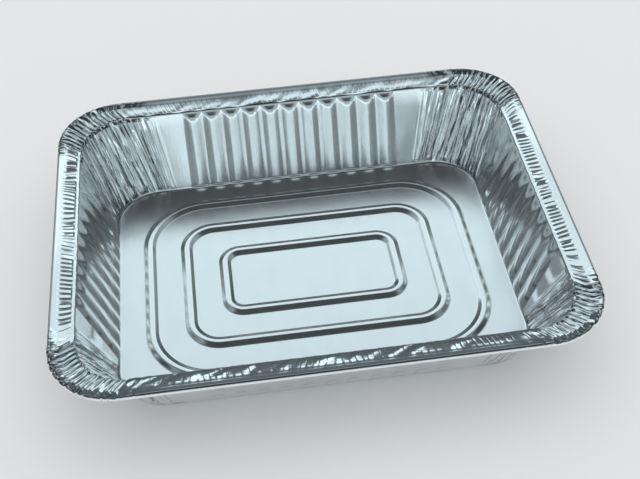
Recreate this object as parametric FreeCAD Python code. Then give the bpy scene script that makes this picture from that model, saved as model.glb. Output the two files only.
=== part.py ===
"""Half-size deep foil tray, pressed from one sheet of aluminium foil.

Millimetres, +Z up. The origin is on the underside of the flat floor, at its centre, with the long
side along X. The tray is a single sheet: a floor stiffened by three raised rectangular beads,
drafted walls with pressed upright ribs, gathered corners whose pleats run up the wall and out over
the flange, and a rolled edge all round.
"""
import FreeCAD
import Part
import math
import os

# Foil
foil = 0.1

# Rim, measured over the rolled edge
rim_length = 322.0
rim_width = 262.0
rim_radius = 40.5
rim_height = 57.8
roll_radius = 1.7
roll_turn = 270.0
roll_steps = 6

# Lip, where the wall turns outwards into the flange, and the flange's rise to the rolled edge
flange_width = 15.2
flange_rise_run = 6.0
flange_bend_rise = 1.2
lip_height = 54.6
lip_radius = 31.0
lip_rounding = 1.6

# Floor, out to the foot of the wall
floor_length = 256.6
floor_width = 191.6
floor_radius = 31.0
foot_rounding = 2.4

# Gathered corners
pleats_per_corner = 14
pleat_depth = 1.1
pleat_drop = 0.9
pleat_unevenness = 0.3

# Upright ribs pressed into the walls, standing proud on the inside
rib_depth = 1.55
rib_base_width = 12.4
rib_crest_width = 4.0
rib_end_chamfer = 1.8
rib_foot_gap = 2.4
rib_lip_gap = 2.0
long_wall_ribs = 11
long_wall_rib_pitch = 13.8
short_wall_ribs = 9
short_wall_rib_pitch = 12.7

# Raised beads in the floor, from the inner one outwards
bead_length = 123.0
bead_width = 63.0
bead_spacing = 25.0
bead_radii = (15.0, 23.5, 43.5)
bead_foot_to_foot = 8.7
bead_crest = 2.6
bead_height = 1.8
bead_steps = 9

lip_length = rim_length - 2 * flange_width
lip_width = rim_width - 2 * flange_width
wall_rise = lip_height - foil
steps_per_corner = 2 * pleats_per_corner
overlap = 0.5


def plan_point(length, width, radius, quadrant, angle):
    """Point of a rounded rectangle in plan, at an angle within one of its four corners."""
    sign_x = 1 if quadrant in (0, 3) else -1
    sign_y = 1 if quadrant in (0, 1) else -1
    x = sign_x * (length / 2 - radius) + radius * math.cos(angle)
    y = sign_y * (width / 2 - radius) + radius * math.sin(angle)
    return FreeCAD.Vector(x, y, 0)


def rounded(corner, before, after, setback, steps=2):
    """Points of the curve that rounds off a corner, tangent to the runs before and after it."""
    start = corner + (before - corner).normalize() * setback
    end = corner + (after - corner).normalize() * setback
    points = []
    for step in range(steps + 1):
        t = step / steps
        points.append(start * (1 - t) ** 2 + corner * (2 * t * (1 - t)) + end * t ** 2)
    return points


def pleat_at(quadrant, step):
    """How far the sheet is pushed out at one step of a corner: every second step is a valley."""
    if step % 2 == 0:
        return 0.0
    return pleat_depth * (1 + pleat_unevenness * math.sin(2.3 * step + 1.7 * quadrant))


def foil_skin(quadrant, step):
    """Points up the inside of the foil at one step round a corner, from floor to rolled edge."""
    angle = math.radians(90 * quadrant + 90 * step / steps_per_corner)
    outward = FreeCAD.Vector(math.cos(angle), math.sin(angle), 0)
    up = FreeCAD.Vector(0, 0, 1)
    push = pleat_at(quadrant, step)

    foot = plan_point(floor_length, floor_width, floor_radius, quadrant, angle) + up * foil
    inside = foot - outward * foot_rounding * 2
    lip = plan_point(lip_length, lip_width, lip_radius, quadrant, angle) + up * lip_height
    lip = lip + outward * push - up * push * pleat_drop
    edge = plan_point(rim_length, rim_width, rim_radius, quadrant, angle)
    roll_centre = edge - outward * roll_radius + up * (rim_height - roll_radius)

    bend_height = lip_height + flange_bend_rise
    bend = edge - outward * (roll_radius + flange_rise_run) + up * (bend_height - push * pleat_drop / 2)
    rise_angle = math.degrees(math.atan2(rim_height - bend_height, flange_rise_run))
    turns = [90 + rise_angle] + [90 - roll_turn * k / roll_steps for k in range(roll_steps + 1)]
    roll = []
    for turn in turns:
        roll.append(roll_centre + outward * roll_radius * math.cos(math.radians(turn))
                    + up * roll_radius * math.sin(math.radians(turn)))

    skin = rounded(foot, inside, lip, foot_rounding) + rounded(lip, foot, bend, lip_rounding)
    skin += [bend] + roll
    under = [underside(skin, k, outward) for k in range(len(skin))]
    return skin, under


def underside(skin, k, outward):
    """The point one foil thickness behind point k of the upper skin."""
    if k == 0:
        return skin[k] - FreeCAD.Vector(0, 0, foil)
    before = skin[k] - skin[k - 1]
    after = skin[k + 1] - skin[k] if k < len(skin) - 1 else before
    along_1 = FreeCAD.Vector(before).normalize()
    along_2 = FreeCAD.Vector(after).normalize()
    run = (along_1 + along_2).dot(outward)
    rise = (along_1 + along_2).z
    size = math.hypot(run, rise)
    return skin[k] + outward * (foil * rise / size) - FreeCAD.Vector(0, 0, foil * run / size)


def polygon(points):
    return Part.makePolygon(points + [points[0]])


def facets(ridge, valley):
    """Faces between two neighbouring strings of points, the folds running from ridge to valley."""
    faces = []
    for k in range(len(ridge) - 1):
        r0, r1, v0, v1 = ridge[k], ridge[k + 1], valley[k], valley[k + 1]
        normal = (r1 - r0).cross(v1 - r0)
        if abs(normal.dot(v0 - r0)) < 1e-6 * normal.Length:
            faces.append(Part.Face(polygon([r0, r1, v1, v0])))
        else:
            faces.append(Part.Face(polygon([r0, r1, v1])))
            faces.append(Part.Face(polygon([r0, v1, v0])))
    return faces


def solid_of(faces):
    """One solid closed by faces that meet edge to edge."""
    skin = Part.makeCompound(faces)
    skin.sewShape()
    return Part.makeSolid(skin.Shells[0] if skin.Shells else skin)


def tapered_block(low, high):
    """Solid between two outlines with the same number of points."""
    faces = [Part.Face(polygon(low)), Part.Face(polygon(high))]
    for k in range(len(low)):
        faces.append(Part.Face(polygon([low[k - 1], low[k], high[k], high[k - 1]])))
    return solid_of(faces)


def wall_and_rim():
    """The sheet from the foot of the wall to the rolled edge, closed round all four corners."""
    steps = [(quadrant, step) for quadrant in range(4) for step in range(steps_per_corner + 1)]
    sections = [foil_skin(quadrant, step) for quadrant, step in steps]
    faces = []
    for k, (skin, under) in enumerate(sections):
        next_skin, next_under = sections[(k + 1) % len(sections)]
        is_ridge = steps[k][1] % 2 == 0
        for here, there in ((skin, next_skin), (under, next_under),
                            ([skin[0], under[0]], [next_skin[0], next_under[0]]),
                            ([skin[-1], under[-1]], [next_skin[-1], next_under[-1]])):
            faces += facets(here, there) if is_ridge else facets(there, here)
    return solid_of(faces)


def floor_plate():
    """The flat floor, out to where the foot of the wall starts to turn up."""
    edge = []
    for quadrant in range(4):
        for step in range(steps_per_corner + 1):
            edge.append(foil_skin(quadrant, step)[1][0])
    return Part.Face(polygon(edge)).extrude(FreeCAD.Vector(0, 0, foil))


def rounded_rectangle(length, width, radius, z):
    """Points round a rounded rectangle centred on the origin."""
    points = []
    for quadrant in range(4):
        for step in range(bead_steps + 1):
            angle = math.radians(90 * quadrant + 90 * step / bead_steps)
            points.append(plan_point(length, width, radius, quadrant, angle) + FreeCAD.Vector(0, 0, z))
    return points


def bead(number, thinner, low, high):
    """One ring-shaped bead as a solid between two heights, or its hollow when made thinner."""
    length = bead_length + 2 * bead_spacing * number
    width = bead_width + 2 * bead_spacing * number
    radius = bead_radii[number]
    flank_run = (bead_foot_to_foot - bead_crest) / 2 / bead_height

    def ring_edge(inset, z):
        return rounded_rectangle(length - 2 * inset, width - 2 * inset, radius - inset, z)

    def inset_at(z):
        return thinner + (z - foil) * flank_run

    outer = tapered_block(*[ring_edge(inset_at(z), z) for z in (low, high)])
    inner = tapered_block(*[ring_edge(bead_foot_to_foot - inset_at(z), z) for z in (low, high)])
    return outer.cut(inner)


def wall_run(side):
    """How far a wall leans outwards: side 0 is +Y, and the others follow anticlockwise."""
    return (lip_width - floor_width) / 2 if side % 2 == 0 else (lip_length - floor_length) / 2


def rib(side, thinner, low, high):
    """One rib of a wall lying flat: X across it, Y up the wall and Z into the tray."""
    slope = (rib_base_width - rib_crest_width) / 2 / rib_depth
    start = rib_foot_gap
    end = math.hypot(wall_run(side), wall_rise) - rib_lip_gap

    def outline(z):
        inset = thinner + z * slope
        half = rib_base_width / 2 - inset
        first = start + inset
        last = end - inset
        cut = rib_end_chamfer
        corners = [(-half + cut, first), (half - cut, first), (half, first + cut), (half, last - cut),
                   (half - cut, last), (-half + cut, last), (-half, last - cut), (-half, first + cut)]
        return [FreeCAD.Vector(x, y, z) for x, y in corners]

    return tapered_block(outline(low), outline(high))


def on_wall(shape, along, side):
    """Places a flat-lying rib on a wall."""
    lean = math.degrees(math.atan2(wall_rise, wall_run(side)))
    half = (floor_width if side % 2 == 0 else floor_length) / 2
    placed = shape.copy()
    placed.translate(FreeCAD.Vector(along, 0, 0))
    placed.rotate(FreeCAD.Vector(0, 0, 0), FreeCAD.Vector(1, 0, 0), lean)
    placed.translate(FreeCAD.Vector(0, half, foil))
    placed.rotate(FreeCAD.Vector(0, 0, 0), FreeCAD.Vector(0, 0, 1), 90 * side)
    return placed


def rib_rows(thinner, low, high):
    """One rib shape at every rib's place on the four walls."""
    ribs = []
    for side in range(4):
        count, pitch = (long_wall_ribs, long_wall_rib_pitch) if side % 2 == 0 else (
            short_wall_ribs, short_wall_rib_pitch)
        shape = rib(side, thinner, low, high)
        for k in range(count):
            ribs.append(on_wall(shape, (k - (count - 1) / 2) * pitch, side))
    return ribs


def foil_tray():
    rib_slope = (rib_base_width - rib_crest_width) / 2 / rib_depth
    rib_thinner = foil * (math.hypot(1, rib_slope) - rib_slope)
    bead_slope = (bead_foot_to_foot - bead_crest) / 2 / bead_height
    bead_thinner = foil * (math.hypot(1, bead_slope) - bead_slope)

    walls = wall_and_rim()
    walls = walls.fuse(rib_rows(0, -foil / 2, rib_depth))
    walls = walls.cut(rib_rows(rib_thinner + foil * rib_slope, -foil - overlap, rib_depth - foil))

    floor = floor_plate()
    numbers = range(len(bead_radii))
    floor = floor.fuse([bead(k, 0, foil / 2, foil + bead_height) for k in numbers])
    floor = floor.cut([bead(k, bead_thinner + foil * bead_slope, -overlap, bead_height) for k in numbers])
    return walls.fuse(floor)


if __name__ == "__main__":
    os.makedirs("parts", exist_ok=True)
    tray = foil_tray()
    print("solids", len(tray.Solids), "faces", len(tray.Faces), "valid", tray.isValid(),
          "volume", round(tray.Volume, 1), "box", tray.BoundBox)
    tray.Solids[0].exportStep("parts/foil_tray.step")
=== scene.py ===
"""A pressed foil tray: its crumpled sheet, the foil it is made of, the stage and the camera."""
import math

import bmesh
import bpy
from bpy.props import FloatProperty, FloatVectorProperty, IntProperty, PointerProperty
from mathutils import Matrix, Vector, noise


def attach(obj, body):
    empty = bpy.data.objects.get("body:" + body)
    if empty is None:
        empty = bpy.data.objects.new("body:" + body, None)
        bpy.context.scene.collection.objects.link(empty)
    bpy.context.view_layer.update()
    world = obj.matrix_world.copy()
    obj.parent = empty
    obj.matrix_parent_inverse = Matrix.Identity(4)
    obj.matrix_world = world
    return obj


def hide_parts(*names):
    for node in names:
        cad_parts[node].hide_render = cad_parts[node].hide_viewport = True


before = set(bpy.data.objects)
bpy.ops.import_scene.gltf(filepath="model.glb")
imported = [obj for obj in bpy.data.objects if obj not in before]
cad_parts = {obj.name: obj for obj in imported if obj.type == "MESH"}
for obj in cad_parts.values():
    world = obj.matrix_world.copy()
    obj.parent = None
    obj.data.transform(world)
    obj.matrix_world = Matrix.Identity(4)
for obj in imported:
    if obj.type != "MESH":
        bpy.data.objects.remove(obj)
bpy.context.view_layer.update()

bl_info = {
    "name": "Foil Tray",
    "version": (1, 0, 0),
    "blender": (4, 5, 0),
    "location": "View3D > Sidebar > Foil Tray",
    "description": "Builds a pressed aluminium foil tray and a plain studio stage",
    "category": "Add Mesh",
}

MM = 0.001
FAR, LEFT, NEAR, RIGHT = range(4)

# Rows of the sheet's section: foot, wall, lip, flange and roll. The lip's row is mid curve.
CURVE_STEPS, FLANGE_STEPS, ROLL_STEPS = 4, 5, 11
WALL_STEPS = (0.015, 0.033, 0.055, 0.085, 0.13, 0.20, 0.28, 0.37, 0.46, 0.55, 0.64, 0.73, 0.81,
              0.875, 0.925, 0.955, 0.98)
FOOT_ROW = CURVE_STEPS + 1
WALL_TOP_ROW = FOOT_ROW + len(WALL_STEPS) + 1
LIP_ROW = WALL_TOP_ROW + CURVE_STEPS // 2
BEND_ROW = LIP_ROW + CURVE_STEPS // 2 + FLANGE_STEPS + 2
ROLL_ROW = BEND_ROW + 2
FLOOR_MARGIN = 0.8 * MM

# Shares of a rib's base where the sheet has a column of points.
RIB_SHARES = (-0.5, -0.4, -0.22, -0.105, 0.105, 0.22, 0.4, 0.5)

# Spacing of the crumpled sheet's creases, and how strongly each side's flange is dented.
WALL_CREASE, FLANGE_CREASE, ROLL_CREASE = 3.1 * MM, 1.6 * MM, 2.2 * MM
DENT_SHARES = {FAR: 1.0, LEFT: 0.35, NEAR: 1.3, RIGHT: 0.35}
NEAR_RIDGE = 0.45 * MM
ROLL_GROOVE = 0.3 * MM

# What the foil mirrors, by direction: 0 is level ahead, 0.5 overhead and 1 level behind.
LIGHT_LEVELS = (
    # Dim, low ahead.
    (0.0, 0.09), (0.10, 0.10), (0.175, 0.14),
    # The soft panel ahead.
    (0.20, 1.12), (0.235, 1.05), (0.25, 0.77), (0.285, 0.85), (0.305, 0.80), (0.335, 0.45),
    # Dark overhead.
    (0.385, 0.18), (0.44, 0.04), (0.70, 0.03), (0.78, 0.10),
    # A weaker panel behind, and a bright band low behind.
    (0.84, 0.42), (0.90, 0.46), (0.94, 0.34), (0.965, 1.15), (1.0, 1.15),
)
LIGHT_TINT = (0.84, 1.03, 1.11)
SIDE_LIGHT = (0.28, 0.35, 0.37, 1)


def measure(name, description, millimetres):
    """A length property whose default is given in millimetres."""
    return FloatProperty(name=name, description=description, unit="LENGTH",
                         default=millimetres * MM)


class TraySizes(bpy.types.PropertyGroup):
    """Sizes of the pressed sheet."""
    foil: measure("Foil", "Thickness of the sheet", 0.1)
    rim_length: measure("Rim length", "Over the rolled edge, along X", 321.8)
    rim_width: measure("Rim width", "Over the rolled edge, along Y", 261.8)
    rim_radius: measure("Rim radius", "Plan radius of the rolled edge's corners", 40.5)
    rim_height: measure("Rim height", "Top of the rolled edge", 57.7)
    roll_radius: measure("Roll radius", "Radius of the rolled edge's section", 1.7)
    flange_width: measure("Flange width", "From the lip to the outside of the rolled edge", 15.2)
    flange_rise_run: measure("Flange rise", "Width of the flange's rise to the rolled edge", 6.0)
    flange_bend: measure("Flange bend", "Height above the lip where the flange's rise begins", 1.2)
    lip_height: measure("Lip height", "Height where the wall turns outwards", 54.6)
    lip_radius: measure("Lip radius", "Plan radius of the lip's corners", 31.0)
    lip_rounding: measure("Lip rounding", "How far the lip's curve reaches each way", 0.8)
    floor_length: measure("Floor length", "To the foot of the walls, along X", 256.6)
    floor_width: measure("Floor width", "To the foot of the walls, along Y", 191.6)
    floor_radius: measure("Floor radius", "Plan radius of the foot's corners", 31.0)
    foot_rounding: measure("Foot rounding", "How far the foot's curve reaches each way", 1.2)
    rib_depth: measure("Rib depth", "How far a rib stands into the tray", 1.55)
    rib_base: measure("Rib base", "Width of a rib at the wall", 12.4)
    rib_crest: measure("Rib crest", "Width of a rib's flat top", 4.0)
    rib_foot_gap: measure("Rib foot gap", "From the foot of the wall to a rib", 1.0)
    rib_lip_gap: measure("Rib lip gap", "From a rib to the lip", 0.2)
    rib_end: measure("Rib end", "Length of a rib's slanted end", 2.2)
    long_pitch: measure("Long wall pitch", "Rib spacing on the long walls", 13.8)
    short_pitch: measure("Short wall pitch", "Rib spacing on the short walls", 12.7)
    long_ribs: IntProperty(name="Long wall ribs", description="Ribs on each long wall", default=11)
    short_ribs: IntProperty(name="Short wall ribs", description="Ribs on each short wall",
                            default=9)
    bead_length: measure("Bead length", "Inner bead, outer foot to outer foot, along X", 123)
    bead_width: measure("Bead width", "Inner bead, outer foot to outer foot, along Y", 63)
    bead_spacing: measure("Bead spacing", "From one bead to the next", 25)
    bead_radii: FloatVectorProperty(name="Bead radii", size=3, unit="LENGTH",
                                    description="Corner radii, from the inner bead outwards",
                                    default=(15 * MM, 23.5 * MM, 43.5 * MM))
    bead_foot: measure("Bead foot", "Width of a bead at the floor", 8.7)
    bead_crest: measure("Bead crest", "Width of a bead's crest", 2.6)
    bead_height: measure("Bead height", "Height of a bead's crest above the floor", 1.8)
    pleats: IntProperty(name="Pleats", description="Pleats gathered in each corner", default=14)
    pleat_depth: measure("Pleat depth", "Depth of a corner's pleats at the lip", 1.0)
    crumple: measure("Crumple", "Height of the fine creases in the corners", 0.75)
    dent: measure("Dents", "Height of the soft dents in the flange", 0.45)


class StageSettings(bpy.types.PropertyGroup):
    """Colours of the foil and the stage, and the level of the light all round."""
    foil_colour: FloatVectorProperty(name="Foil", description="Colour of the bare aluminium",
                                     subtype="COLOR", size=3, default=(0.91, 0.92, 0.92))
    floor_colour: FloatVectorProperty(name="Floor", description="Colour of the studio floor",
                                      subtype="COLOR", size=3, default=(0.82, 0.83, 0.84))
    floor_size: FloatProperty(name="Floor size", description="Side of the studio floor",
                              default=6.0, unit="LENGTH")
    fill: FloatProperty(name="Fill", description="Brightness of the light all round", default=0.9)


class Station:
    """One place round the tray: a turn within a corner, or a distance along the side after it."""

    def __init__(self, quadrant, turn, band=0.0, along=0.0, panel=0.0):
        self.quadrant, self.turn = quadrant, turn
        self.long_side = quadrant in (FAR, NEAR)
        self.band, self.along, self.panel = band, along, panel
        angle = math.pi / 2 * (quadrant + turn)
        self.outward = Vector((math.cos(angle), math.sin(angle), 0))
        self.tangent = Vector((-math.sin(angle), math.cos(angle), 0))

    def on(self, length, width, radius, height):
        """Where this station crosses a rounded rectangle at a height."""
        sign_x = 1 if self.quadrant in (0, 3) else -1
        sign_y = 1 if self.quadrant in (0, 1) else -1
        corner = Vector((sign_x * (length / 2 - radius), sign_y * (width / 2 - radius), height))
        if not self.band:
            return corner + self.outward * radius
        half = (length if self.long_side else width) / 2 - radius
        middle = corner + self.tangent * half
        reach = math.copysign(self.panel * (half - self.band), self.along)
        return middle + self.tangent * (self.along + reach) + self.outward * radius


def ribs_of(sizes, quadrant):
    """The number of ribs on a side's wall, and their pitch."""
    if quadrant in (FAR, NEAR):
        return sizes.long_ribs, sizes.long_pitch
    return sizes.short_ribs, sizes.short_pitch


def stations(sizes, corner_steps=88, panel_steps=20):
    """Stations anticlockwise from the corner at +X +Y, closest where ribs and pleats need them."""
    found = []
    for quadrant in range(4):
        for step in range(corner_steps + 1):
            found.append(Station(quadrant, step / corner_steps))
        count, pitch = ribs_of(sizes, quadrant)
        band = count * pitch / 2
        for step in range(1, panel_steps):
            found.append(Station(quadrant, 1, band, -band, 1 - step / panel_steps))
        for rib in range(count):
            centre = (rib - (count - 1) / 2) * pitch
            found.append(Station(quadrant, 1, band, centre - pitch / 2))
            for share in RIB_SHARES:
                found.append(Station(quadrant, 1, band, centre + share * sizes.rib_base))
        for step in range(panel_steps):
            found.append(Station(quadrant, 1, band, band, step / panel_steps))
    return found


def curve(corner, before, after, setback, steps):
    """Points of the curve that rounds a corner off."""
    start = corner + (before - corner).normalized() * setback
    end = corner + (after - corner).normalized() * setback
    return [start * (1 - t) ** 2 + corner * (2 * t * (1 - t)) + end * t ** 2
            for t in (k / steps for k in range(steps + 1))]


def run(start, end, steps):
    """Points between two ends, left out themselves."""
    return [start.lerp(end, k / steps) for k in range(1, steps)]


def section(sizes, station):
    """The sheet's points at one station, from the edge of the floor to inside the rolled edge."""
    up = Vector((0, 0, 1))
    outward = station.outward
    foot = station.on(sizes.floor_length, sizes.floor_width, sizes.floor_radius, sizes.foil)
    lip = station.on(sizes.rim_length - 2 * sizes.flange_width,
                     sizes.rim_width - 2 * sizes.flange_width, sizes.lip_radius, sizes.lip_height)
    edge = station.on(sizes.rim_length, sizes.rim_width, sizes.rim_radius, sizes.rim_height)
    bend = edge - outward * (sizes.roll_radius + sizes.flange_rise_run)
    bend.z = sizes.lip_height + sizes.flange_bend
    centre = edge - outward * sizes.roll_radius - up * sizes.roll_radius
    rise = math.atan2(edge.z - bend.z, sizes.flange_rise_run)
    roll = []
    for k in range(ROLL_STEPS + 1):
        turn = math.pi / 2 + rise - (1.5 * math.pi + rise) * k / ROLL_STEPS
        roll.append(centre + (outward * math.cos(turn) + up * math.sin(turn)) * sizes.roll_radius)
    inside = foot - outward
    points = curve(foot, inside, lip, sizes.foot_rounding, CURVE_STEPS)
    points.insert(0, points[0] - outward * FLOOR_MARGIN)
    over = curve(lip, foot, bend, sizes.lip_rounding, CURVE_STEPS)
    points += [points[-1].lerp(over[0], t) for t in WALL_STEPS] + over
    rising = curve(bend, lip, roll[0], 1.8 * MM, 2)
    points += run(over[-1], rising[0], FLANGE_STEPS) + rising + run(rising[-1], roll[0], 2) + roll
    return points


def smooth(low, high, value):
    """Nought below low, one above high, eased between them."""
    t = min(max((value - low) / (high - low), 0.0), 1.0)
    return t * t * (3 - 2 * t)


def rib_height(sizes, station, up_wall, down_wall):
    """How far the ribs push the wall in, by the distances to its foot and its lip."""
    if not station.band or station.panel:
        return 0.0
    count, pitch = ribs_of(sizes, station.quadrant)
    place = station.along / pitch + (count - 1) / 2
    offset = abs(place - round(place)) * pitch
    across = (sizes.rib_base / 2 - offset) * 2 / (sizes.rib_base - sizes.rib_crest)
    # Both ends are curved in plan, and those under the lip run out longer on the short walls.
    bow = (offset / sizes.rib_base * 2) ** 2
    foot_slope = 0.9 * sizes.rib_end
    lip_slope = sizes.rib_end if station.long_side else 2.6 * sizes.rib_end
    foot_end = (up_wall - sizes.rib_foot_gap) / foot_slope - 0.35 * bow
    lip_end = (down_wall - sizes.rib_lip_gap) / lip_slope + 0.7 * bow
    return sizes.rib_depth * min(max(min(across, foot_end, lip_end), 0.0), 1.0)


def soft(s, h, seed):
    """Rounded noise, from about minus one to one."""
    return noise.noise(Vector((s, h, seed)))


def ridged(s, h, seed):
    """Noise with sharp crests: one on a crest and about minus one between two."""
    return 1 - 3.08 * abs(soft(s, h, seed))


def pleat(sizes, station):
    """The corner's gathers: one where a fold lies deepest in the sheet, nought between two."""
    if station.band:
        return 0.0
    phase = station.turn * sizes.pleats
    phase += 0.35 * soft(phase * 0.9, station.quadrant * 7.3, 1.5)
    return 1 - abs(2 * (phase % 1) - 1)


def near_corner(station):
    """One within a corner, falling to nought across the plain panel beside it."""
    return 1.0 if not station.band else smooth(0.45, 1.0, station.panel)


def wall_push(sizes, station, arc, up_wall, total):
    """The push on the wall: ribs, gathers that deepen upwards, sharp creases and soft waves."""
    seed = 10.0 * station.quadrant
    t = min(max(up_wall / total, 0.0), 1.0)
    push = rib_height(sizes, station, up_wall + sizes.foot_rounding, total - up_wall)
    push -= sizes.pleat_depth * pleat(sizes, station) * t
    lean = (arc + 0.2 * up_wall) / WALL_CREASE
    fine = ridged(lean, up_wall / (24 * MM), seed)
    fine += 0.6 * ridged(2.1 * lean, up_wall / (15 * MM), seed + 3)
    push += sizes.crumple * near_corner(station) * fine * smooth(0.02, 0.2, t) * (1 - 0.5 * t)
    waves = soft(arc / (30 * MM), up_wall / (40 * MM), seed + 5)
    return push + 0.3 * MM * waves * smooth(0, 0.3, t) * (1 - t)


def flange_push(sizes, station, arc, w):
    """The push on the flange, where w is nought at the lip and one past the bend."""
    seed = 10.0 * station.quadrant
    push = -1.5 * sizes.pleat_depth * pleat(sizes, station) ** 1.5 * (1 - 0.3 * w)
    if station.band and station.quadrant == NEAR:
        push += NEAR_RIDGE * min(w / 0.8, 1, (1.22 - w) / 0.37)
    share = DENT_SHARES[station.quadrant] if station.band else 1.0
    dents = soft(arc / (6 * MM) + 1.6 * w, w, seed + 7)
    push += sizes.dent * dents * share * smooth(0, 0.25, w) * (1 - smooth(0.7, 1.1, w))
    fine = ridged(arc / FLANGE_CREASE, w * 2, seed + 8)
    return push + 0.25 * MM * near_corner(station) * fine * (1 - smooth(0.8, 1.2, w))


def roll_push(sizes, station, arc, row):
    """The push on the roll: a groove where it starts, and the gathers dying out round it."""
    push = -ROLL_GROOVE if row == ROLL_ROW else 0.0
    push -= 0.5 * sizes.pleat_depth * pleat(sizes, station) * max(1 - (row - ROLL_ROW) / 5, 0)
    fine = soft(arc / ROLL_CREASE, row * 0.4, 10.0 * station.quadrant + 9)
    return push + 0.12 * MM * near_corner(station) * fine


def press(sizes, station, points, arc):
    """How far each row of one station is pushed along the sheet's upper side, in metres."""
    total = sum((points[k + 1] - points[k]).length for k in range(FOOT_ROW, WALL_TOP_ROW))
    heights = []
    climb = -sizes.foot_rounding - FLOOR_MARGIN
    for row, point in enumerate(points):
        climb += (point - points[row - 1]).length if row else 0.0
        if row <= LIP_ROW:
            heights.append(wall_push(sizes, station, arc, climb, total))
        elif row < ROLL_ROW:
            w = (row - LIP_ROW) / (BEND_ROW - LIP_ROW)
            heights.append(flange_push(sizes, station, arc, w))
        else:
            heights.append(roll_push(sizes, station, arc, row))
    return heights


def lay_sheet(bm, columns, rows):
    """A flat grid of vertices, given back as columns of rows."""
    made = bmesh.ops.create_grid(bm, x_segments=columns, y_segments=rows - 1, size=1.0)["verts"]
    grid = [[None] * rows for _ in range(columns + 1)]
    for vert in made:
        grid[round((vert.co.x + 1) / 2 * columns)][round((vert.co.y + 1) / 2 * (rows - 1))] = vert
    return grid


def marks(station, row):
    """How much one point of the sheet has of each of its material's masks."""
    corner = near_corner(station)
    flange = smooth(LIP_ROW + 2.5, LIP_ROW + 4.5, row)
    flange *= 1 - smooth(BEND_ROW - 1.5, BEND_ROW + 0.5, row)
    wall = smooth(FOOT_ROW, FOOT_ROW + 3, row) * (1 - smooth(LIP_ROW - 4, LIP_ROW - 2, row))
    dashed = station.band and not station.long_side
    satin = station.long_side and row < LIP_ROW - 1
    return {
        "dash": flange * (1.0 if dashed else 0.25),
        "wall": smooth(1, FOOT_ROW, row) * (1 - (0.4 * (1 - corner) if satin else 0.0)),
        "needle": corner * max(wall, 0.7 * smooth(BEND_ROW, ROLL_ROW, row)),
        # Painted shade: a dark line in the base colour along the row past the roll's groove, in
        # place of the fold's shadow.
        "painted_fold_shade": 1.0 if row == ROLL_ROW + 1 else 0.0,
    }


def spread_sheet(bm, grid, arcs):
    """Maps the sheet flat, in metres: the way round the lip, and the way up the section."""
    uv = bm.loops.layers.uv["Sheet"]
    spread = {}
    for column, arc in zip(grid, arcs):
        lean = 0.5 * MM * soft(arc / (20 * MM), 4.5, 0)
        climb = 0.0
        for row, vert in enumerate(column):
            climb += (vert.co - column[row - 1].co).length if row else 0.0
            spread[vert] = (arc + lean * max(row - LIP_ROW, 0), climb)
    for face in bm.faces:
        for loop in face.loops:
            loop[uv].uv = spread[loop.vert]


def form_walls(bm, sizes):
    """The walls, flange and rolled edge, pressed from one flat strip closed into a ring."""
    places = stations(sizes)
    sections = [section(sizes, place) for place in places]
    bm.loops.layers.uv.new("Sheet")
    masks = {name: bm.verts.layers.float.new(name) for name in ("dash", "wall", "needle", "painted_fold_shade")}
    grid = lay_sheet(bm, len(places), len(sections[0]))
    arcs = [0.0]
    for k in range(1, len(places) + 1):
        step = sections[k % len(places)][LIP_ROW] - sections[k - 1][LIP_ROW]
        arcs.append(arcs[-1] + step.length)
    for k, column in enumerate(grid):
        for vert, point in zip(column, sections[k % len(places)]):
            vert.co = point
    spread_sheet(bm, grid, arcs)
    bmesh.ops.weld_verts(bm, targetmap=dict(zip(grid.pop(), grid[0])))
    bmesh.ops.recalc_face_normals(bm, faces=bm.faces)
    bm.normal_update()
    if grid[0][0].normal.z < 0:
        bmesh.ops.reverse_faces(bm, faces=bm.faces)
        bm.normal_update()
    for place, points, arc, column in zip(places, sections, arcs, grid):
        heights = press(sizes, place, points, arc)
        normals = [vert.normal.copy() for vert in column]
        for row, vert in enumerate(column):
            vert.co += normals[row] * heights[row]
            for name, value in marks(place, row).items():
                vert[masks[name]] = value
    return [column[0] for column in grid]


def bead_section(sizes, samples=14, margin=0.6 * MM):
    """Inset and height along a bead's section, with a flat margin on both sides."""
    flank = (sizes.bead_foot - sizes.bead_crest) / 2
    points = [(-margin, 0.0)]
    for k in range(samples + 1):
        inset = sizes.bead_foot * k / samples
        climb = min(inset, sizes.bead_foot - inset) / flank
        points.append((inset, sizes.bead_height * min(climb, 1)))
    return points + [(sizes.bead_foot + margin, 0.0)]


def form_ring(bm, length, width, radius, profile, corner_steps=16):
    """A closed strip pressed along a rounded rectangle; gives back its outer and inner edges."""
    places = [Station(quadrant, step / corner_steps)
              for quadrant in range(4) for step in range(corner_steps + 1)]
    grid = lay_sheet(bm, len(places), len(profile))
    wall = bm.verts.layers.float["wall"]
    low = profile[0][1]
    for k, column in enumerate(grid):
        place = places[k % len(places)]
        for vert, (inset, height) in zip(column, profile):
            vert[wall] = 0.35 if height > low else 0.0
            vert.co = place.on(length - 2 * inset, width - 2 * inset,
                               max(radius - inset, 0.5 * MM), height)
    bmesh.ops.weld_verts(bm, targetmap=dict(zip(grid.pop(), grid[0])))
    return [[bm.edges.get((grid[k - 1][row], grid[k][row])) for k in range(len(grid))]
            for row in (0, -1)]


def form_floor(bm, sizes, foot):
    """The floor, from the foot of the walls inwards over the three beads."""
    outline = [bm.edges.get((foot[k - 1], foot[k])) for k in range(len(foot))]
    raised = [(inset, sizes.foil + height) for inset, height in bead_section(sizes)]
    for number in (2, 1, 0):
        outwards = 2 * sizes.bead_spacing * number
        outer, inner = form_ring(bm, sizes.bead_length + outwards, sizes.bead_width + outwards,
                                 sizes.bead_radii[number], raised)
        bmesh.ops.triangle_fill(bm, use_beauty=True, edges=outline + outer)
        outline = inner
    bmesh.ops.triangle_fill(bm, use_beauty=True, edges=outline)


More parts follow.
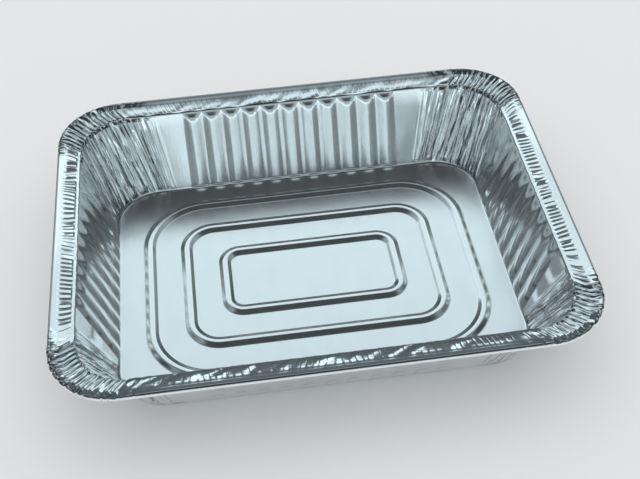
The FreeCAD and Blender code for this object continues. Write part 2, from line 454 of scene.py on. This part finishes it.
class Graph:
    """Adds nodes to a tree; what feeds an input is a plain value or another node's output."""

    def __init__(self, tree):
        self.nodes, self.links = tree.nodes, tree.links
        self.nodes.clear()

    def feed(self, node, inputs):
        """Sets or links inputs, which are given by name or by number."""
        for key, value in inputs.items():
            if isinstance(value, bpy.types.NodeSocket):
                self.links.new(value, node.inputs[key])
            else:
                node.inputs[key].default_value = value
        return node

    def maths(self, operation, *values):
        node = self.nodes.new("ShaderNodeMath")
        node.operation = operation
        return self.feed(node, dict(enumerate(values))).outputs["Value"]

    def eased(self, value, low, high, start=0.0, end=1.0):
        """Goes smoothly from start to end while the value goes from low to high."""
        node = self.nodes.new("ShaderNodeMapRange")
        node.interpolation_type = "SMOOTHSTEP"
        return self.feed(node, {"Value": value, "From Min": low, "From Max": high,
                                "To Min": start, "To Max": end}).outputs["Result"]

    def mixed(self, factor, first, second):
        """A colour that goes from the first to the second by the factor."""
        node = self.nodes.new("ShaderNodeMix")
        node.data_type = "RGBA"
        return self.feed(node, {"Factor": factor, "A": first, "B": second}).outputs["Result"]

    def mask(self, name):
        """One of the sheet's masks."""
        node = self.nodes.new("ShaderNodeAttribute")
        node.attribute_name = name
        return node.outputs["Fac"]

    def stretched(self, vector, scale, turn=0.0):
        node = self.nodes.new("ShaderNodeMapping")
        return self.feed(node, {"Vector": vector, "Scale": scale,
                                "Rotation": (0, 0, turn)}).outputs["Vector"]

    def noise(self, vector, scale, detail):
        node = self.nodes.new("ShaderNodeTexNoise")
        return self.feed(node, {"Vector": vector, "Scale": scale, "Detail": detail}).outputs["Fac"]

    def bump(self, height, distance, before=None, strength=1.0):
        """Relief of a height up to the distance, on top of the relief before it."""
        node = self.nodes.new("ShaderNodeBump")
        self.feed(node, {"Strength": strength, "Distance": distance, "Height": height})
        if before is not None:
            self.feed(node, {"Normal": before})
        return node.outputs["Normal"]

    def ramp(self, value, stops):
        """A colour by position; each stop is a position and a colour."""
        node = self.feed(self.nodes.new("ShaderNodeValToRGB"), {"Fac": value})
        elements = node.color_ramp.elements
        while len(elements) < len(stops):
            elements.new(0.5)
        for element, (position, colour) in zip(elements, stops):
            element.position, element.color = position, colour
        return node.outputs["Color"]


def material_of(name):
    """A new material with its graph and its surface shader."""
    material = bpy.data.materials.new(name)
    material.use_nodes = True
    graph = Graph(material.node_tree)
    surface = graph.nodes.new("ShaderNodeBsdfPrincipled")
    output = graph.nodes.new("ShaderNodeOutputMaterial")
    graph.feed(output, {"Surface": surface.outputs["BSDF"]})
    return material, graph, surface


def foil_material(settings):
    """Bright rolled foil with soft waves, rolling lines and the small folds of the drawn sheet."""
    material, graph, surface = material_of("Foil")
    place = graph.nodes.new("ShaderNodeTexCoord").outputs["Object"]
    flat = graph.nodes.new("ShaderNodeUVMap")
    flat.uv_map = "Sheet"
    sheet = flat.outputs["UV"]

    # Soft waves all over, and the fine lines that the rolling mill leaves.
    normal = graph.bump(graph.noise(place, 14, 2), 0.6 * MM)
    lines = graph.noise(graph.stretched(place, (14, 0.5, 1)), 60, 3)
    normal = graph.bump(lines, 0.1 * MM, normal, strength=0.25)

    # Short creases side by side across the flange.
    cells = graph.nodes.new("ShaderNodeTexVoronoi")
    cells.voronoi_dimensions = "2D"
    cells.feature = "DISTANCE_TO_EDGE"
    graph.feed(cells, {"Vector": graph.stretched(sheet, (285, 12, 1), 0.05), "Scale": 1.0,
                       "Randomness": 0.4})
    dashes = graph.maths("MULTIPLY", graph.eased(cells.outputs["Distance"], 0, 0.26),
                         graph.mask("dash"))
    normal = graph.bump(dashes, 0.6 * MM, normal)

    # Long needles that run up the gathered corners.
    threads = graph.noise(graph.stretched(sheet, (240, 15, 1)), 1, 1)
    needles = graph.maths("MULTIPLY", graph.eased(threads, 0.35, 0.65), graph.mask("needle"))
    normal = graph.bump(needles, 2.1 * MM, normal)

    # The floor is duller than the walls. Painted shade: the base colour is darkened to a fifth
    # along the row past the roll's groove, standing in for the fold's shadow.
    grain = graph.noise(graph.stretched(place, (3, 1, 1)), 30, 4)
    least = graph.maths("MULTIPLY_ADD", graph.mask("wall"), 0.035 - 0.20, 0.20)
    bare = settings.foil_colour
    colour = graph.mixed(graph.mask("painted_fold_shade"), (*bare, 1), (*(0.2 * c for c in bare), 1))
    graph.feed(surface, {"Base Color": colour, "Metallic": 1.0, "Normal": normal,
                         "Roughness": graph.maths("MULTIPLY_ADD", grain, 0.10, least)})
    return material


def floor_material(settings):
    """The studio floor: pale, dull and faintly mottled."""
    material, graph, surface = material_of("Studio floor")
    place = graph.nodes.new("ShaderNodeTexCoord").outputs["Object"]
    pale = settings.floor_colour
    mottled = graph.ramp(graph.noise(place, 3, 2),
                         ((0, (*(0.985 * c for c in pale), 1)), (1, (*pale, 1))))
    graph.feed(surface, {"Base Color": mottled, "Roughness": 0.9, "Specular IOR Level": 0.1})
    return material


def object_of(bm, name, material):
    """Turns a finished bmesh into a smooth-shaded object."""
    mesh = bpy.data.meshes.new(name)
    bm.to_mesh(mesh)
    bm.free()
    mesh.materials.append(material)
    for polygon in mesh.polygons:
        polygon.use_smooth = True
    thing = bpy.data.objects.new(name, mesh)
    bpy.context.scene.collection.objects.link(thing)
    return thing


class MESH_OT_foil_tray(bpy.types.Operator):
    """Add the tray as one pressed sheet of foil"""
    bl_idname = "mesh.foil_tray"
    bl_label = "Foil Tray"
    bl_options = {"REGISTER", "UNDO"}

    def execute(self, context):
        sizes = context.scene.tray_sizes
        bm = bmesh.new()
        foot = form_walls(bm, sizes)
        form_floor(bm, sizes, foot)
        bmesh.ops.recalc_face_normals(bm, faces=bm.faces)
        bm.normal_update()
        lowest = min(bm.faces, key=lambda face: face.calc_center_median().xy.length)
        if lowest.normal.z < 0:
            bmesh.ops.reverse_faces(bm, faces=bm.faces)
        bmesh.ops.solidify(bm, geom=bm.faces, thickness=sizes.foil)
        tray = object_of(bm, "foil_tray_sheet", foil_material(context.scene.stage_settings))
        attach(tray, "root")
        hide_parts("foil_tray")
        return {"FINISHED"}


class SCENE_OT_foil_tray_stage(bpy.types.Operator):
    """Add the floor, the soft light all round and the camera"""
    bl_idname = "scene.foil_tray_stage"
    bl_label = "Studio Stage"
    bl_options = {"REGISTER", "UNDO"}

    def execute(self, context):
        settings = context.scene.stage_settings
        self.add_floor(settings)
        self.add_light(context, settings)
        self.add_camera(context)
        context.scene.view_settings.view_transform = "Standard"
        return {"FINISHED"}

    def add_floor(self, settings):
        bm = bmesh.new()
        bmesh.ops.create_grid(bm, x_segments=8, y_segments=8, size=settings.floor_size / 2)
        bmesh.ops.translate(bm, vec=(0, 0, -0.0002), verts=bm.verts)
        object_of(bm, "studio_floor", floor_material(settings))

    def add_light(self, context, settings):
        """An even glow for the floor; the foil mirrors soft panels ahead, beside and behind."""
        world = bpy.data.worlds.new("Studio")
        world.use_nodes = True
        context.scene.world = world
        graph = Graph(world.node_tree)
        split = graph.nodes.new("ShaderNodeSeparateXYZ")
        graph.feed(split, {"Vector": graph.nodes.new("ShaderNodeTexCoord").outputs["Generated"]})
        x, y, z = split.outputs

        pitch = graph.maths("DIVIDE", graph.maths("ARCTAN2", z, y), math.pi)
        panels = graph.ramp(pitch, [(position, (*(part * level for part in LIGHT_TINT), 1))
                                    for position, level in LIGHT_LEVELS])
        sideways = graph.maths("ABSOLUTE", x)
        fading = graph.maths("MULTIPLY", graph.eased(sideways, 0.50, 0.66, 0.0, -0.80),
                             graph.eased(y, -0.05, 0.15))
        ahead = graph.nodes.new("ShaderNodeVectorMath")
        ahead.operation = "SCALE"
        graph.feed(ahead, {"Vector": panels, "Scale": graph.maths("ADD", fading, 1.0)})

        beside = graph.maths("MULTIPLY", graph.eased(sideways, 0.48, 0.56),
                             graph.eased(sideways, 0.62, 0.76, 1.0, 0.35))
        beside = graph.maths("MULTIPLY", beside, graph.eased(z, 0.52, 0.64))
        beside = graph.maths("MULTIPLY", beside, graph.eased(y, -0.25, -0.05))
        mirrored = graph.mixed(beside, ahead.outputs["Vector"], SIDE_LIGHT)

        path = graph.nodes.new("ShaderNodeLightPath")
        glow = (*(settings.fill,) * 3, 1)
        above = graph.maths("MULTIPLY_ADD", z, 0.9, -0.55)
        strength = graph.maths("MULTIPLY_ADD", above, path.outputs["Is Diffuse Ray"], 1.0)
        colour = graph.mixed(path.outputs["Is Glossy Ray"], glow, mirrored)
        background = graph.nodes.new("ShaderNodeBackground")
        graph.feed(background, {"Color": colour, "Strength": strength})
        output = graph.nodes.new("ShaderNodeOutputWorld")
        graph.feed(output, {"Surface": background.outputs["Background"]})

    def add_camera(self, context):
        """The photograph's own viewpoint."""
        focal_pixels, picture_width = 1073.247, 640
        data = bpy.data.cameras.new("Camera")
        data.sensor_width = 36
        data.lens = focal_pixels / picture_width * data.sensor_width
        camera = bpy.data.objects.new("Camera", data)
        context.scene.collection.objects.link(camera)
        right = Vector((0.99060799, -0.13386623, -0.02785028))
        down = Vector((-0.1140716, -0.69680427, -0.70813238))
        ahead = Vector((0.07538882, 0.70465853, -0.70553022))
        turn = Matrix((right, -down, -ahead)).transposed().to_4x4()
        camera.matrix_world = Matrix.Translation((-0.0465031, -0.4920301, 0.5217571)) @ turn
        context.scene.camera = camera


class VIEW3D_PT_foil_tray(bpy.types.Panel):
    """Sizes and settings in the 3D view's sidebar"""
    bl_label = "Foil Tray"
    bl_space_type = "VIEW_3D"
    bl_region_type = "UI"
    bl_category = "Foil Tray"

    def draw(self, context):
        for group in (context.scene.tray_sizes, context.scene.stage_settings):
            for name in group.__annotations__:
                self.layout.prop(group, name)
        self.layout.operator(MESH_OT_foil_tray.bl_idname)
        self.layout.operator(SCENE_OT_foil_tray_stage.bl_idname)


CLASSES = (TraySizes, StageSettings, MESH_OT_foil_tray, SCENE_OT_foil_tray_stage,
           VIEW3D_PT_foil_tray)


def register():
    for cls in CLASSES:
        bpy.utils.register_class(cls)
    bpy.types.Scene.tray_sizes = PointerProperty(type=TraySizes)
    bpy.types.Scene.stage_settings = PointerProperty(type=StageSettings)


def unregister():
    del bpy.types.Scene.stage_settings
    del bpy.types.Scene.tray_sizes
    for cls in reversed(CLASSES):
        bpy.utils.unregister_class(cls)


def main():
    register()
    bpy.ops.scene.foil_tray_stage()
    bpy.ops.mesh.foil_tray()


if __name__ == "__main__":
    main()
